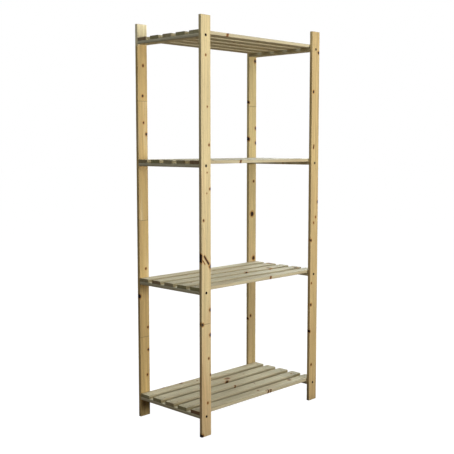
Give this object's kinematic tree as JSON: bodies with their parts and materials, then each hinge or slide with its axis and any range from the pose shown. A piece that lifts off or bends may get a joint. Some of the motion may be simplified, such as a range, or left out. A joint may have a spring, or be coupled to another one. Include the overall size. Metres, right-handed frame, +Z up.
{
  "type": "slatted shelving unit",
  "caption": "Tall free-standing open shelving unit of planed pine strip, with slatted shelves on flat end bearers screwed between upright posts, for storing goods.",
  "frame": {"origin": "on the floor, at the middle of the unit's width and depth", "axes": "+X to the right seen from the front, +Y to the back, +Z up"},
  "size_m": [0.75, 0.4, 1.7],
  "materials": {
    "post_pine": "planed, unfinished",
    "bearer_pine": "planed, unfinished",
    "slat_pine": "planed, unfinished",
    "screw_black_steel": "black phosphate",
    "nail_steel": "bright drawn"
  },
  "bodies": {
    "root": {"front_left_post": "post_pine", "front_right_post": "post_pine", "back_left_post": "post_pine", "back_right_post": "post_pine", "bottom_shelf_left_bearer": "bearer_pine", "bottom_shelf_right_bearer": "bearer_pine", "bottom_shelf_slat_1": "slat_pine", "bottom_shelf_slat_2": "slat_pine", "bottom_shelf_slat_3": "slat_pine", "bottom_shelf_slat_4": "slat_pine", "bottom_shelf_slat_5": "slat_pine", "bottom_shelf_post_screws": "screw_black_steel", "bottom_shelf_slat_nails": "nail_steel", "lower_shelf_left_bearer": "bearer_pine", "lower_shelf_right_bearer": "bearer_pine", "lower_shelf_slat_1": "slat_pine", "lower_shelf_slat_2": "slat_pine", "lower_shelf_slat_3": "slat_pine", "lower_shelf_slat_4": "slat_pine", "lower_shelf_slat_5": "slat_pine", "lower_shelf_post_screws": "screw_black_steel", "lower_shelf_slat_nails": "nail_steel", "upper_shelf_left_bearer": "bearer_pine", "upper_shelf_right_bearer": "bearer_pine", "upper_shelf_slat_1": "slat_pine", "upper_shelf_slat_2": "slat_pine", "upper_shelf_slat_3": "slat_pine", "upper_shelf_slat_4": "slat_pine", "upper_shelf_slat_5": "slat_pine", "upper_shelf_post_screws": "screw_black_steel", "upper_shelf_slat_nails": "nail_steel", "top_shelf_left_bearer": "bearer_pine", "top_shelf_right_bearer": "bearer_pine", "top_shelf_slat_1": "slat_pine", "top_shelf_slat_2": "slat_pine", "top_shelf_slat_3": "slat_pine", "top_shelf_slat_4": "slat_pine", "top_shelf_slat_5": "slat_pine", "top_shelf_post_screws": "screw_black_steel", "top_shelf_slat_nails": "nail_steel"}
  },
  "joints": []
}
